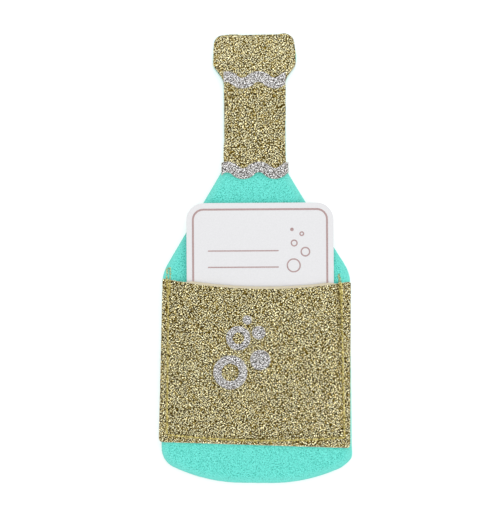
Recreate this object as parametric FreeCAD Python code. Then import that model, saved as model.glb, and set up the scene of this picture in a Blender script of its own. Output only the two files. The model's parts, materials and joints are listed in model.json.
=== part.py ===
import FreeCAD, Part
import math
import os

# Bottle-shaped felt holder for a gift card, lying on its back. X runs across the bottle, Y runs up it
# towards the cork and Z runs out of its front. While building, Y is the height above the middle of the base.
# The finished pieces are moved so that the origin is the middle of the flat back. All sizes are in mm.

# Card that stands in the pocket
CARD_WIDTH = 54.0
CARD_LENGTH = 83.5
CARD_THICKNESS = 0.5
CARD_CORNER = 6.2
CARD_SHOWING = 31.4
CARD_ROOM_LEFT = 7.2
CARD_ROOM_RIGHT = 3.15
CARD_SEAM_GAP = 2.2
CARD_REST_GAP = 0.1
CARD_SIDE_CLEARANCE = 0.4
CARD_TOP_CLEARANCE = 0.25
CARD_BAND_CLEARANCE = 0.4

# Felt bottle panel
FELT_THICKNESS = 3.0
BODY_MARGIN = 0.5
BODY_TAPER = 1.4
BASE_SOLE = 34.5
BASE_SOLE_ROUND = 60.0
BASE_CORNER_HEIGHT = 7.5
BASE_CORNER_ROUND = 8.0
BASE_SKEW = 0.75
SHOULDER_ABOVE_POCKET = 2.5
SHOULDER_HEIGHT = 38.9
SHOULDER_ROUND = 15.0
NECK_WIDTH = 22.8
NECK_LENGTH = 32.0
NECK_ROUND = 2.0
CAP_FLARE_HEIGHT = 5.3
CAP_FLARE_ROUND = 6.0
CAP_WIDTH = 30.9
CAP_HEIGHT = 11.7
CAP_SIDE_ROUND = 3.0
CAP_TOP_WIDTH = 29.4
CAP_LEFT_DROP = 0.45
CAP_CORNER = 3.2

# Pocket, sewn on a little askew
POCKET_THICKNESS = 0.8
POCKET_TAPER = 0.8
POCKET_SKEW = 1.3
POCKET_SHIFT = -0.32
POCKET_ABOVE_BASE = 14.3
POCKET_CORNER = 1.0
MOUTH_SAG = 3.2
SLOPE_WALL = 0.35

# Lockstitched seam round three sides of the pocket
SEAM_INSET_LEFT = 2.45
SEAM_INSET_RIGHT = 2.5
SEAM_INSET_BOTTOM = 3.1
SEAM_WANDER_LEFT = 0.4
SEAM_WANDER_RIGHT = 0.9
SEAM_BOW = 1.6
SEAM_ROOM = 0.9
STITCH_PITCH = 2.45
THREAD_DIAMETER = 0.5
THREAD_SIDES = 5
THREAD_CLEARANCE = 0.02
TACK_REACH_LEFT = 3.5
TACK_REACH_RIGHT = 2.2
TACK_STITCHES = 4
# Half a thread loop's width in thread radii, and half its length in half widths
LOOP_WIDTH = 1.15
LOOP_LENGTH = 2.2

# Glitter appliques and the film that bonds them
ADHESIVE_THICKNESS = 0.1
NECK_PANEL_THICKNESS = 0.6
NECK_PANEL_INSET = 0.1
BAND_THICKNESS = 0.5
BAND_WIDTH = 3.9
BAND_WAVELENGTH = 11.75
BAND_RISE = 1.25
BAND_CREST_X = 1.5
BAND_BELOW_NECK = 1.2
BAND_RAMP = 0.8
UPPER_BAND_OVERHANG = 0.0
LOWER_BAND_OVERHANG = 0.95
BUBBLE_THICKNESS = 0.5
BUBBLE_CENTRE_X = -4.0
BUBBLE_CENTRE_ABOVE_BASE = 47.0
BUBBLE_DIAMETER = 12.5
# Across, up, outer diameter and hole of each bubble, from the middle of the group, in large bubbles
BUBBLES = [
    (-0.44, -0.48, 1.0, 0.52),
    (0.44, -0.12, 0.6, 0.0),
    (-0.2, 0.52, 0.72, 0.35),
    (0.4, 0.68, 0.4, 0.0),
    (0.064, 1.056, 0.272, 0.0),
]

# Places that follow from the sizes above
pocket_width = CARD_ROOM_LEFT + CARD_WIDTH + CARD_ROOM_RIGHT + SEAM_INSET_LEFT + SEAM_INSET_RIGHT
card_lift = SEAM_INSET_BOTTOM + CARD_SEAM_GAP
pocket_height = card_lift + CARD_LENGTH - CARD_SHOWING + MOUTH_SAG
pocket_middle = POCKET_ABOVE_BASE + pocket_height / 2
pocket_top = POCKET_ABOVE_BASE + pocket_height
card_bottom = POCKET_ABOVE_BASE + card_lift
card_left = POCKET_SHIFT - pocket_width / 2 + SEAM_INSET_LEFT + CARD_ROOM_LEFT
card_right = card_left + CARD_WIDTH
shoulder_height = pocket_top + SHOULDER_ABOVE_POCKET
neck_bottom = shoulder_height + SHOULDER_HEIGHT
neck_top = neck_bottom + NECK_LENGTH
flare_top = neck_top + CAP_FLARE_HEIGHT
bottle_top = flare_top + CAP_HEIGHT
body_base_half = (pocket_width + POCKET_TAPER / 2 + BODY_MARGIN) / 2
body_top_half = body_base_half - BODY_TAPER / 2
lower_band_height = neck_bottom - BAND_BELOW_NECK
neck_panel_back = FELT_THICKNESS + ADHESIVE_THICKNESS
neck_panel_front = neck_panel_back + NECK_PANEL_THICKNESS
band_back = neck_panel_front + ADHESIVE_THICKNESS
band_front = band_back + BAND_THICKNESS
card_rest = FELT_THICKNESS + CARD_REST_GAP
# The card leans out so far that it slides over the lower band
card_lean = math.atan2(band_front + CARD_BAND_CLEARANCE - card_rest, lower_band_height - card_bottom)
crown_inside = CARD_THICKNESS + CARD_TOP_CLEARANCE
crown_outside = crown_inside + POCKET_THICKNESS
thread_radius = THREAD_DIAMETER / 2
loop_offset = thread_radius * LOOP_WIDTH
loop_reach = loop_offset * LOOP_LENGTH
tack_lane = FreeCAD.Vector(2 * (loop_offset + thread_radius) + 4 * THREAD_CLEARANCE, 0, 0)


def point(x, y, z=0.0):
    return FreeCAD.Vector(x, y, z)


def rounded_edges(corners):
    """Lines and tangent arcs along (x, y, radius) corners; those with no radius stay sharp."""
    edges = []
    last = point(*corners[0][:2])
    for before, corner, after in zip(corners, corners[1:], corners[2:]):
        at = point(*corner[:2])
        back = (point(*before[:2]) - at).normalize()
        ahead = (point(*after[:2]) - at).normalize()
        half_angle = back.getAngle(ahead) / 2
        reach = corner[2] / math.tan(half_angle)
        inward = (back + ahead).normalize()
        middle = at + inward * (corner[2] / math.sin(half_angle) - corner[2])
        start = at + back * reach
        end = at + ahead * reach
        edges.append(Part.makeLine(last, start))
        if corner[2]:
            edges.append(Part.Arc(start, middle, end).toShape())
        last = end
    edges.append(Part.makeLine(last, point(*corners[-1][:2])))
    return edges


def closed_face(edges):
    return Part.Face(Part.Wire(Part.sortEdges(edges)[0]))


def prism(face, bottom, top):
    """The face, drawn at z = 0, as a solid between two heights."""
    raised = face.copy()
    raised.translate(point(0, 0, bottom))
    return raised.extrude(point(0, 0, top - bottom))


def both_sides(right):
    """Corners up the right side, then their mirror images down the left."""
    return right + [(-x, y, radius) for x, y, radius in reversed(right)]


def skewed(corners):
    """Corners with the cap's top and the base cut askew: the top drops on the left, the base on the right."""
    drop = math.tan(math.radians(BASE_SKEW))
    placed = []
    for x, y, radius in corners:
        if y <= BASE_CORNER_HEIGHT:
            y -= x * drop
        elif y > flare_top and x < 0:
            y -= CAP_LEFT_DROP
        placed.append((x, y, radius))
    return placed


def neck_corners(inset):
    return [
        (NECK_WIDTH / 2 - inset, neck_top, CAP_FLARE_ROUND),
        (CAP_WIDTH / 2 - inset, flare_top, CAP_SIDE_ROUND),
        (CAP_TOP_WIDTH / 2 - inset, bottle_top - inset, CAP_CORNER),
    ]


def bottle_face():
    right = [
        (0, 0, 0),
        (BASE_SOLE / 2, 0, BASE_SOLE_ROUND),
        (body_base_half, BASE_CORNER_HEIGHT, BASE_CORNER_ROUND),
        (body_top_half, shoulder_height, SHOULDER_ROUND),
        (NECK_WIDTH / 2, neck_bottom, NECK_ROUND),
    ]
    return closed_face(rounded_edges(skewed(both_sides(right + neck_corners(0)))))


def neck_face():
    half_width = NECK_WIDTH / 2 - NECK_PANEL_INSET
    right = [
        (0, lower_band_height, 0),
        (half_width, lower_band_height, 0),
    ]
    return closed_face(rounded_edges(skewed(both_sides(right + neck_corners(NECK_PANEL_INSET)))))


def wave_face(middle, overhang):
    """A wavy band of even width: arcs about common centres, alternately crests and troughs."""
    half_length = NECK_WIDTH / 2 + overhang
    step = BAND_WAVELENGTH / 2
    radius = (step ** 2 / 4 + BAND_RISE ** 2) / (2 * BAND_RISE)
    spread = math.asin(step / 2 / radius)
    count = math.ceil(half_length / step) + 1
    upper = []
    lower = []
    for number in range(-count, count + 1):
        sign = 1 if number % 2 == 0 else -1
        centre = point(BAND_CREST_X + number * step, middle + sign * (BAND_RISE - radius))
        for edges, offset in ((upper, BAND_WIDTH / 2), (lower, -BAND_WIDTH / 2)):
            size = radius + sign * offset
            spots = [
                centre + point(size * math.sin(angle), sign * size * math.cos(angle))
                for angle in (-spread, 0, spread)
            ]
            edges.append(Part.Arc(*spots).toShape())
    ends = [
        Part.makeLine(upper[0].Vertexes[0].Point, lower[0].Vertexes[0].Point),
        Part.makeLine(upper[-1].Vertexes[-1].Point, lower[-1].Vertexes[-1].Point),
    ]
    reach = BAND_WIDTH + BAND_RISE
    frame = Part.makePlane(2 * half_length, 2 * reach, point(-half_length, middle - reach))
    return closed_face(upper + lower + ends).common(frame).Faces[0]


def draped_layer(face, start, thickness):
    """A layer of the lower band, start above what carries it: on the neck panel, down a ramp, on the felt."""
    edge = lower_band_height
    reach = BAND_WIDTH + BAND_RISE
    high = neck_panel_front + start
    low = FELT_THICKNESS + start
    under = [(edge + reach, high), (edge, high), (edge - BAND_RAMP, low), (edge - reach, low)]
    over = [(y, z + thickness) for y, z in reversed(under)]
    left = -NECK_WIDTH
    loop = [point(left, y, z) for y, z in under + over]
    profile = Part.Face(Part.makePolygon(loop + loop[:1]))
    return profile.extrude(point(2 * NECK_WIDTH, 0, 0)).common(prism(face, 0, high + thickness))


def on_pocket(x, y):
    """A point of the pocket's own drawing, from its middle, as a point of the bottle."""
    turn = math.radians(-POCKET_SKEW)
    return point(
        POCKET_SHIFT + x * math.cos(turn) - y * math.sin(turn),
        pocket_middle + x * math.sin(turn) + y * math.cos(turn),
    )


def leaning_point(x, y, z):
    """A point of the card's plane, where z is the distance in front of the card's back."""
    along = y - card_bottom
    return point(
        x,
        card_bottom + along * math.cos(card_lean) - z * math.sin(card_lean),
        card_rest + along * math.sin(card_lean) + z * math.cos(card_lean),
    )


def leaning(shape):
    """A shape drawn flat, with the card's back at z = 0, moved into the card's plane."""
    moved = shape.copy()
    moved.rotate(point(0, card_bottom), point(1, 0), math.degrees(card_lean))
    moved.translate(point(0, 0, card_rest))
    return moved


def card_solid():
    middle = (card_left + card_right) / 2
    corners = [
        (middle, card_bottom, 0),
        (card_right, card_bottom, CARD_CORNER),
        (card_right, card_bottom + CARD_LENGTH, CARD_CORNER),
        (card_left, card_bottom + CARD_LENGTH, CARD_CORNER),
        (card_left, card_bottom, CARD_CORNER),
        (middle, card_bottom, 0),
    ]
    return leaning(prism(closed_face(rounded_edges(corners)), 0, CARD_THICKNESS))


def seam_corners():
    """Where the seam starts, turns and ends: left top, left bottom, right bottom, right top."""
    top = pocket_height / 2
    bottom = SEAM_INSET_BOTTOM - pocket_height / 2
    left = SEAM_INSET_LEFT - pocket_width / 2
    right = pocket_width / 2 - SEAM_INSET_RIGHT
    flare = POCKET_TAPER / 4
    return [
        on_pocket(left + flare - SEAM_WANDER_LEFT, top),
        on_pocket(left - flare + SEAM_WANDER_LEFT, bottom),
        on_pocket(right + flare + SEAM_WANDER_RIGHT, bottom),
        on_pocket(right - flare - SEAM_WANDER_RIGHT, top),
    ]


def pocket_face():
    top_half = (pocket_width - POCKET_TAPER / 2) / 2
    bottom_half = (pocket_width + POCKET_TAPER / 2) / 2
    half_height = pocket_height / 2
    corners = [
        (-top_half, half_height, 0),
        (-bottom_half, -half_height, POCKET_CORNER),
        (bottom_half, -half_height, POCKET_CORNER),
        (top_half, half_height, 0),
    ]
    placed = []
    for x, y, radius in corners:
        at = on_pocket(x, y)
        placed.append((at.x, at.y, radius))
    mouth = Part.Arc(
        on_pocket(top_half, half_height),
        on_pocket(0, half_height - MOUTH_SAG),
        on_pocket(-top_half, half_height),
    )
    return closed_face(rounded_edges(placed) + [mouth.toShape()])


def crown_solid(front, spread):
    """The space under the raised middle of the pocket, from the felt to a distance in front of the card's
    back, spread sideways; the mouth end runs past the pocket."""
    left_top, left_bottom, right_bottom, right_top = seam_corners()
    room = SEAM_ROOM - spread
    past = pocket_top + MOUTH_SAG
    low = card_bottom - CARD_SEAM_GAP + room
    lean_left = (left_top.x - left_bottom.x) / (left_top.y - left_bottom.y)
    lean_right = (right_top.x - right_bottom.x) / (right_top.y - right_bottom.y)
    foot_left = left_bottom.x + room
    foot_right = right_bottom.x - room
    foot = [
        (foot_left, low),
        (foot_right, low - pocket_width * math.sin(math.radians(POCKET_SKEW)) / 2),
        (foot_right + lean_right * (past - right_bottom.y), past),
        (foot_left + lean_left * (past - left_bottom.y), past),
    ]
    side = CARD_SIDE_CLEARANCE + spread
    top = [
        (card_left - side, card_bottom - side),
        (card_right + side, card_bottom - side),
        (card_right + side, past),
        (card_left - side, past),
    ]
    layers = [
        [point(x, y, 0) for x, y in foot],
        [point(x, y, FELT_THICKNESS + max(front - crown_inside, 0)) for x, y in foot],
        [leaning_point(x, y, front) for x, y in top],
    ]
    wires = [Part.makePolygon(layer + layer[:1]) for layer in layers]
    return Part.makeLoft(wires, True, True)


def pocket_solid():
    face = pocket_face()
    flange = prism(face, FELT_THICKNESS, FELT_THICKNESS + POCKET_THICKNESS)
    clear_height = leaning_point(0, pocket_top, crown_outside).z + POCKET_THICKNESS
    hood = crown_solid(crown_outside, SLOPE_WALL).common(prism(face, FELT_THICKNESS, clear_height))
    return flange.fuse(hood).cut(crown_solid(crown_inside, 0)).removeSplitter()


def bubble_pair(across, up, size, hole):
    """One bubble and the film that bonds it to the raised middle of the pocket."""
    middle = point(BUBBLE_CENTRE_X, BUBBLE_CENTRE_ABOVE_BASE) + point(across, up) * BUBBLE_DIAMETER
    radius = BUBBLE_DIAMETER / 2
    face = Part.Face(Part.Wire(Part.makeCircle(radius * size, middle)))
    if hole:
        face = face.cut(Part.Face(Part.Wire(Part.makeCircle(radius * hole, middle)))).Faces[0]
    back = crown_outside + ADHESIVE_THICKNESS
    bubble = leaning(prism(face, back, back + BUBBLE_THICKNESS))
    film = leaning(prism(face, crown_outside, back))
    return bubble, film


def spaced(start, end, bow=0.0):
    """Needle points at an even pitch from start to end, bowed downwards in the middle."""
    count = round((end - start).Length / STITCH_PITCH)
    points = []
    for number in range(count + 1):
        share = number / count
        points.append(start + (end - start) * share - point(0, 4 * bow * share * (1 - share)))
    return points


def needle_points():
    """Each needle hole in sewing order: up a short tack, all round the pocket and down a short tack."""
    left_top, left_bottom, right_bottom, right_top = seam_corners()
    above_left = left_top + (left_top - left_bottom).normalize() * TACK_REACH_LEFT
    above_right = right_top + (right_top - right_bottom).normalize() * TACK_REACH_RIGHT
    left = spaced(above_left, left_bottom)
    bottom = spaced(left_bottom, right_bottom, SEAM_BOW)
    right = spaced(right_bottom, above_right)
    first_tack = [spot + tack_lane for spot in left[TACK_STITCHES:0:-1]]
    last_tack = [spot + tack_lane for spot in right[-2:-2 - TACK_STITCHES:-1]]
    first_turn = [left[0] + tack_lane / 2]
    last_turn = [right[-1] + tack_lane / 2]
    return first_tack + first_turn + left[1:] + bottom[1:] + right[1:-1] + last_turn + last_tack


def front_height(pocket, spot):
    """Height of the cloth's front at a place: the pocket's, or the felt's beyond it."""
    top = leaning_point(0, pocket_top, crown_outside).z
    probe = Part.makeLine(point(spot.x, spot.y, FELT_THICKNESS), point(spot.x, spot.y, top))
    heights = [vertex.Z for vertex in probe.common(pocket).Vertexes]
    return max(heights + [FELT_THICKNESS])


def thread_path(holes, hook, outer_height, lock_height):
    """Corners of one thread: along the outside, then down, across and back up in each needle hole. The
    hook is 1 or -1, and the two threads of a seam have opposite hooks, so their loops link."""
    path = []
    for number, hole in enumerate(holes):
        before = holes[max(number - 1, 0)]
        after = holes[min(number + 1, len(holes) - 1)]
        ahead = (after - before).normalize()
        aside = point(-ahead.y, ahead.x) * (hook * loop_offset)
        enter = hole - ahead * loop_reach + aside
        leave = hole + ahead * loop_reach - aside
        path.append(point(enter.x, enter.y, outer_height(enter)))
        path.append(point(enter.x, enter.y, lock_height))
        path.append(point(leave.x, leave.y, lock_height))
        path.append(point(leave.x, leave.y, outer_height(leave)))
    return path[1:-1]


def thread_solid(path):
    """A tube of flat-sided section along straight runs with mitred corners."""
    ahead = (path[1] - path[0]).normalize()
    across = point(-ahead.y, ahead.x).normalize()
    upright = ahead.cross(across)
    ring = []
    for number in range(THREAD_SIDES):
        angle = 2 * math.pi * number / THREAD_SIDES
        ring.append(path[0] + (across * math.cos(angle) + upright * math.sin(angle)) * thread_radius)
    rings = [ring]
    for number in range(1, len(path)):
        ahead = (path[number] - path[number - 1]).normalize()
        onward = ahead
        if number + 1 < len(path):
            onward = (path[number + 1] - path[number]).normalize()
        mitre = (ahead + onward).normalize()
        ring = [spot + ahead * ((path[number] - spot).dot(mitre) / ahead.dot(mitre)) for spot in ring]
        rings.append(ring)
    walls = [Part.Face(Part.makePolygon(end + end[:1])) for end in (rings[0], rings[-1])]
    for near, far in zip(rings, rings[1:]):
        for side in range(THREAD_SIDES):
            following = (side + 1) % THREAD_SIDES
            wall = [near[side], near[following], far[following], far[side], near[side]]
            walls.append(Part.Face(Part.makePolygon(wall)))
    skin = Part.Compound(walls)
    skin.sewShape()
    return Part.Solid(skin.Shells[0])


def slot_face(start, end, half_width):
    """A straight slot with round ends."""
    ahead = (end - start).normalize() * half_width
    aside = point(-ahead.y, ahead.x)
    return closed_face([
        Part.makeLine(start + aside, end + aside),
        Part.Arc(end + aside, end + ahead, end - aside).toShape(),
        Part.makeLine(end - aside, start - aside),
        Part.Arc(start - aside, start - ahead, start + aside).toShape(),
    ])


def seam_furrows(holes):
    """What the bobbin thread draws into the back of the felt: a furrow round the pocket and a wider one at
    each tack."""
    left_top, left_bottom, right_bottom, right_top = seam_corners()
    bottom_middle = (left_bottom + right_bottom) / 2 - point(0, SEAM_BOW)
    line = Part.Wire([
        Part.makeLine(left_top, left_bottom),
        Part.Arc(left_bottom, bottom_middle, right_bottom).toShape(),
        Part.makeLine(right_bottom, right_top),
    ])
    half_width = loop_offset + thread_radius + THREAD_CLEARANCE
    faces = [Part.Face(line.makeOffset2D(half_width))]
    for start, turn in ((holes[0], holes[TACK_STITCHES]), (holes[-1], holes[-TACK_STITCHES - 1])):
        faces.append(slot_face(start - tack_lane / 2, turn, half_width + tack_lane.Length / 2))
    return [prism(face, 0, THREAD_DIAMETER + 2 * THREAD_CLEARANCE) for face in faces]


pocket = pocket_solid()
holes = needle_points()
lock_height = FELT_THICKNESS / 2
lock_step = thread_radius + THREAD_CLEARANCE
bobbin_height = thread_radius + 2 * THREAD_CLEARANCE
needle_path = thread_path(
    holes, 1, lambda spot: front_height(pocket, spot) + thread_radius, lock_height - lock_step
)
bobbin_path = thread_path(holes, -1, lambda spot: bobbin_height, lock_height + lock_step)

felt = prism(bottle_face(), 0, FELT_THICKNESS)
for furrow in seam_furrows(holes):
    felt = felt.cut(furrow)

upper_wave = wave_face(neck_top, UPPER_BAND_OVERHANG)
lower_wave = wave_face(lower_band_height, LOWER_BAND_OVERHANG)
nodes = {
    "bottle_panel": felt,
    "neck_panel": prism(neck_face(), neck_panel_back, neck_panel_front),
    "neck_adhesive": prism(neck_face(), FELT_THICKNESS, neck_panel_back),
    "upper_wave_band": prism(upper_wave, band_back, band_front),
    "upper_band_adhesive": prism(upper_wave, neck_panel_front, band_back),
    "lower_wave_band": draped_layer(lower_wave, ADHESIVE_THICKNESS, BAND_THICKNESS),
    "lower_band_adhesive": draped_layer(lower_wave, 0, ADHESIVE_THICKNESS),
    "pocket_panel": pocket,
    "needle_thread": thread_solid(needle_path),
    "bobbin_thread": thread_solid(bobbin_path),
    "insert_card": card_solid(),
}
films = []
for number, sizes in enumerate(BUBBLES, 1):
    bubble, film = bubble_pair(*sizes)
    nodes[f"bubble_{number}"] = bubble
    films.append(film)
nodes["bubble_adhesive"] = Part.Compound(films)

os.makedirs("parts", exist_ok=True)
for name, shape in nodes.items():
    shape.translate(point(0, -bottle_top / 2, 0))
    shape.exportStep(f"parts/{name}.step")
    print(name, shape.isValid(), len(shape.Solids), round(shape.Volume, 2))
print("card lean", math.degrees(card_lean), "slide axis", math.cos(card_lean), math.sin(card_lean))
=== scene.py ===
import json
import math

import bpy
import numpy as np
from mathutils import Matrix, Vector
from mathutils.geometry import delaunay_2d_cdt
from mathutils.kdtree import KDTree


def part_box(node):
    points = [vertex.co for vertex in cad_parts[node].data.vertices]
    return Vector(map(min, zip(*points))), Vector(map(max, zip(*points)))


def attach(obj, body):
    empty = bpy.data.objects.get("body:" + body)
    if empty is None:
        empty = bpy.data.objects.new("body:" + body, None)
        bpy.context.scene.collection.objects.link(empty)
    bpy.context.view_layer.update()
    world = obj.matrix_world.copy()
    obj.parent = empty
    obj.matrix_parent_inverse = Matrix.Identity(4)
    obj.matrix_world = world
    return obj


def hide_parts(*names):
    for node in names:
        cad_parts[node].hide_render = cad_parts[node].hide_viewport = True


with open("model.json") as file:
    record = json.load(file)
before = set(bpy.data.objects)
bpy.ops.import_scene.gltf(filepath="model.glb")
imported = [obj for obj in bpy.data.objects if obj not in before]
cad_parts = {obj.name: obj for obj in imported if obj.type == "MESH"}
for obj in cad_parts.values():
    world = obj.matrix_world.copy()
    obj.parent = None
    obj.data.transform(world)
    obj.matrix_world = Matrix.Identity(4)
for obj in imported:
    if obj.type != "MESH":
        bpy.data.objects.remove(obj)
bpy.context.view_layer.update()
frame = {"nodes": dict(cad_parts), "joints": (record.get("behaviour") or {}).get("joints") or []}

# Sizes are in millimetres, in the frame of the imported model: X across, Y up the bottle, Z out of its front
MM = 0.001

# Photograph: millimetres to a pixel, image height, the point of the model at its middle and its turn
PIXEL = 0.3673
IMAGE_HEIGHT = 524
VIEW_MIDDLE = (-2.05, -1.27, 4.0)
VIEW_TURN = 0.00603
LENS = 120.0
SENSOR = 36.0
CLIP_START = 10.0

# Light: place and size of each lamp in metres and its power in watts, and the strength of the sky
KEY_LAMP = ((-0.07, 0.62, 1.0), 0.75, 2.6)
FILL_LAMP = ((1.0, -0.3, 0.75), 0.75, 2.9)
SKY = 0.75

# Floor: half its width in metres, its depth below the holder, its grey and the glow that whitens it
FLOOR_HALF = 3.0
FLOOR_DROP = 0.02
FLOOR_GREY = 0.8
FLOOR_GLOW = 0.42

# Outlines: how far a face has to look up, the digits that tell two points apart and the fewest points
FACING = 0.1
DIGITS = 4
FEWEST_POINTS = 12

# Triangles in a layer, in shares of the points' spacing, and the two settings of the triangulation
ROW_STEP = 0.866
JITTER = 0.34
POINT_ROOM = 0.6
LINE_ROOM = 0.5
KEEP_INSIDE = 1
MERGE = 1e-5

# Rounded border of a layer: each step's share of the way in and share of the drop. The largest drop and the
# height of the border's foot are shares of the layer's thickness
EDGE_STEPS = [(0.5, 0.134), (0.134, 0.5), (0.0, 1.0)]
EDGE_DROP = 0.6
EDGE_FOOT = 0.12

# Random heights: number of waves, their shortest and longest length in wavelengths, and their sum's divisor
RIPPLE_WAVES = 14
RIPPLE_LENGTHS = (0.7, 1.6)
RIPPLE_DIVISOR = 5

# Turn that keeps a texture from lining up with a face
GRAIN_TURN = (0.5, 0.35, 0.2)

# Felt: waves and relief, a dent along the seam, painted sheen that lightens its cut rim, and a furrow behind
# for the bobbin thread
FELT_EDGE = 0.5
FELT_SPACING = 0.95
FELT_BORDER_SHARE = 0.6
FELT_RELIEF = 0.035
FELT_RAGGED = 0.05
FELT_WAVE = 0.03
FELT_WAVELENGTH = 7
FELT_PRESS = 0.06
FELT_PRESS_WIDTH = 0.6
FELT_LINES = (-1.3, -0.75, -0.4, 0, 0.4, 0.75, 1.3)
SHEEN_RIM_WIDTH = 2.6
SHEEN_RIM_MOST = 0.8
SHEEN_RIM_FALL = 0.7
FIBRE_TURNS = (0.3, 1.35, 2.4)
FURROW = 0.46
FURROW_WIDTH = 0.62

# Right side of the felt and neck cloth: pairs of a height and a move outwards, and where the moves fade in
RIGHT_EASE = [
    (-68, 0.0), (-40, 0.2), (-16, 0.15), (-7, 0.42), (2, 0.0), (22, -0.5), (32, -0.6), (36, 0.0),
    (64, 0.0), (70, -0.15), (75, 0.25), (79.5, -0.35), (82, -0.7),
]
RIGHT_FROM = 6
RIGHT_FADE = 4
FELT_CORNER = (34.2, -73.2)
FELT_CORNER_PUSH = 0.6
FELT_CORNER_REACH = 4.2
FELT_CORNER_FALL = 1.5

# Glitter cloth: flakes set off against those a step apart, cut edges, and the bare cloth that carries them
FLAKE_SIZE = 0.35
FLAKE_SPACING = 0.5
FLAKE_RELIEF = 0.035
FLAKE_CONTRAST = 1.7
FLAKE_OFFSET = 0.37
FLAKE_APART = 0.36
FLAKE_ROUGHNESS = 0.15
FLAKE_ROUGHNESS_SPREAD = 0.3
FLAKE_SPECULAR = 0.25
BACK_SPACING = 1.0
CLOTH_EDGE = 0.16
CLOTH_RAGGED = 0.08
CLOTH_SOFTENED = 3
RAW_EDGE = 0.9
RAW_OVERHANG = 0.75
WEAVE = 0.9

# Film under the bubbles
FILM = 0.1
FILM_EDGE = 0.03
FILM_SPACING = 1.2
FILM_BORDER_SPACING = 0.6

# Neck cloth, cut by hand, with painted sheen that lightens it over the cap, and the step of the lower band
# down from its edge
NECK_WAVE = 0.04
NECK_WAVELENGTH = 9
NECK_CUT = 0.3
NECK_CUT_WAVELENGTH = 12
NECK_CUT_RANGE = (-0.3, 1)
PAINTED_SHEEN_FROM = 65.5
PAINTED_SHEEN_FADE = 4.0
PAINTED_SHEEN_TONE = 0.055
BAND_STEP_BELOW = 3.4
BAND_STEP_LENGTH = 3.5

# Pocket: its room for the card, its slope down to the seam, its puff and its mouth
POCKET_THICKNESS = 0.8
CARD_THICKNESS = 0.5
CARD_CLEARANCE = 0.25
SLOPE_CLEARANCE = 0.12
SLOPE_START = 0.2
SLOPE_STRAIGHT = 0.6
POCKET_LIFT = 0.02
POCKET_PUFF = 0.22
PUFF_WAVELENGTH = 13
PUFF_MOST = 1.3
POCKET_LINES = (-0.7, 0, 0.7)
MOUTH_DEPTH = 7
MOUTH_END = 0.3
MOUTH_FADE = 3
# Moves of its bottom left, bottom right, top left and top right corner
POCKET_EASE = [(-0.22, 0.3), (0.62, -0.82), (-0.25, 0.0), (0.25, 0.0)]
BUBBLE_COUNT = 5

# Seam: left top, left bottom, right bottom and right top of the stitch line
SEAM_CORNERS = [(-32.02, -7.02), (-32.93, -64.52), (32.30, -66.00), (31.41, -8.46)]
SEAM_BOW = 1.6
SEAM_GROOVE = 0.14
GROOVE_EVEN = 0.75
GROOVE_WIDTH = 0.75
STITCH_PITCH = 2.45
QUARTERS = (0, 0.25, 0.5, 0.75)
TACK_REACH_LEFT = 3.5
TACK_REACH_RIGHT = 2.2
# Shift and half spread of the two runs of each tack, from its top down
LEFT_TACK = [(0.0, 0.5), (0.0, 0.55), (0.0, 0.5), (0.0, 0.4), (0.0, 0.2)]
RIGHT_TACK = [(-0.75, 0.15), (-0.4, 0.25), (-0.15, 0.35), (-0.05, 0.25), (0.0, 0.15)]
TACK_HOLES = len(LEFT_TACK)
PLAIN_SEAM = slice(2 * TACK_HOLES, -2 * TACK_HOLES)

# Threads: twisted section, place on the cloth between holes, and the loops that lock in each hole
THREAD_RADIUS = 0.4
THREAD_FUZZ = 0.1
THREAD_STRAY = 0.05
THREAD_SIDES = 9
THREAD_PLY = 3
PLY_MIDDLE = 0.91
PLY_LOBE = 0.11
THREAD_TWIST = 1.25
THREAD_LIFT = 0.35
TACK_SINK = 0.3
STITCH_SINK = 0.26
STITCH_SHARES = (0.2, 0.5, 0.8)
HOLE_PINCH = 0.36
HOLE_PINCH_REACH = 0.5
LOOP_OFFSET = 0.12
LOOP_REACH = 0.16
NEEDLE_ARCH = 0.1
BOBBIN_ARCH = -0.02
BOBBIN_HEIGHT = 0.27
ROUTE_STEPS = 3
STEEP = 0.9

# Card and its print: each rule's left end, right end and height, and each ring's middle and diameter. A ring
# below one diameter is a disc
CARD_EDGE = 0.07
CARD_SPACING = 6.0
CARD_BORDER_SPACING = 0.5
BORDER_INSET = 2.05
BORDER_WIDTH = 0.7
FOIL = 0.03
FOIL_EDGE = 0.02
FOIL_SPACING = 2.0
FOIL_ROUGHNESS = 0.25
FOIL_ROUGHNESS_SPREAD = 0.3
RULES = [(-17.5, 8.5, 2.6), (-17.5, 8.5, -3.4)]
RULE_WIDTH = 0.45
RULE_SPACING = 0.4
RINGS = [(14.0, -2.6, 5.2), (18.3, 2.4, 3.6), (14.2, 5.6, 2.6), (17.0, 9.0, 1.8), (13.4, 10.6, 1.3)]
RING_WIDTH = 0.5
DISC_BELOW = 1.5
RING_POINTS = 40


def srgb(red, green, blue):
    """A colour given in screen values from 0 to 255, as linear RGBA."""
    linear = []
    for value in (red, green, blue):
        share = value / 255
        linear.append(share / 12.92 if share <= 0.04045 else ((share + 0.055) / 1.055) ** 2.4)
    return (*linear, 1.0)


# Colours of each material from dark to light, with their places on the ramp
FELT_TONES = [(0.3, srgb(42, 174, 156)), (0.47, srgb(108, 236, 220)), (0.64, srgb(134, 253, 240))]
FELT_CLOUDS = [(0.3, (0.94, 0.96, 0.96, 1)), (0.7, (1.0, 1.0, 1.0, 1))]
FELT_SHADES = [(0.45, (0.86, 0.9, 0.9, 1)), (0.75, (1.06, 1.04, 1.04, 1))]
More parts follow.
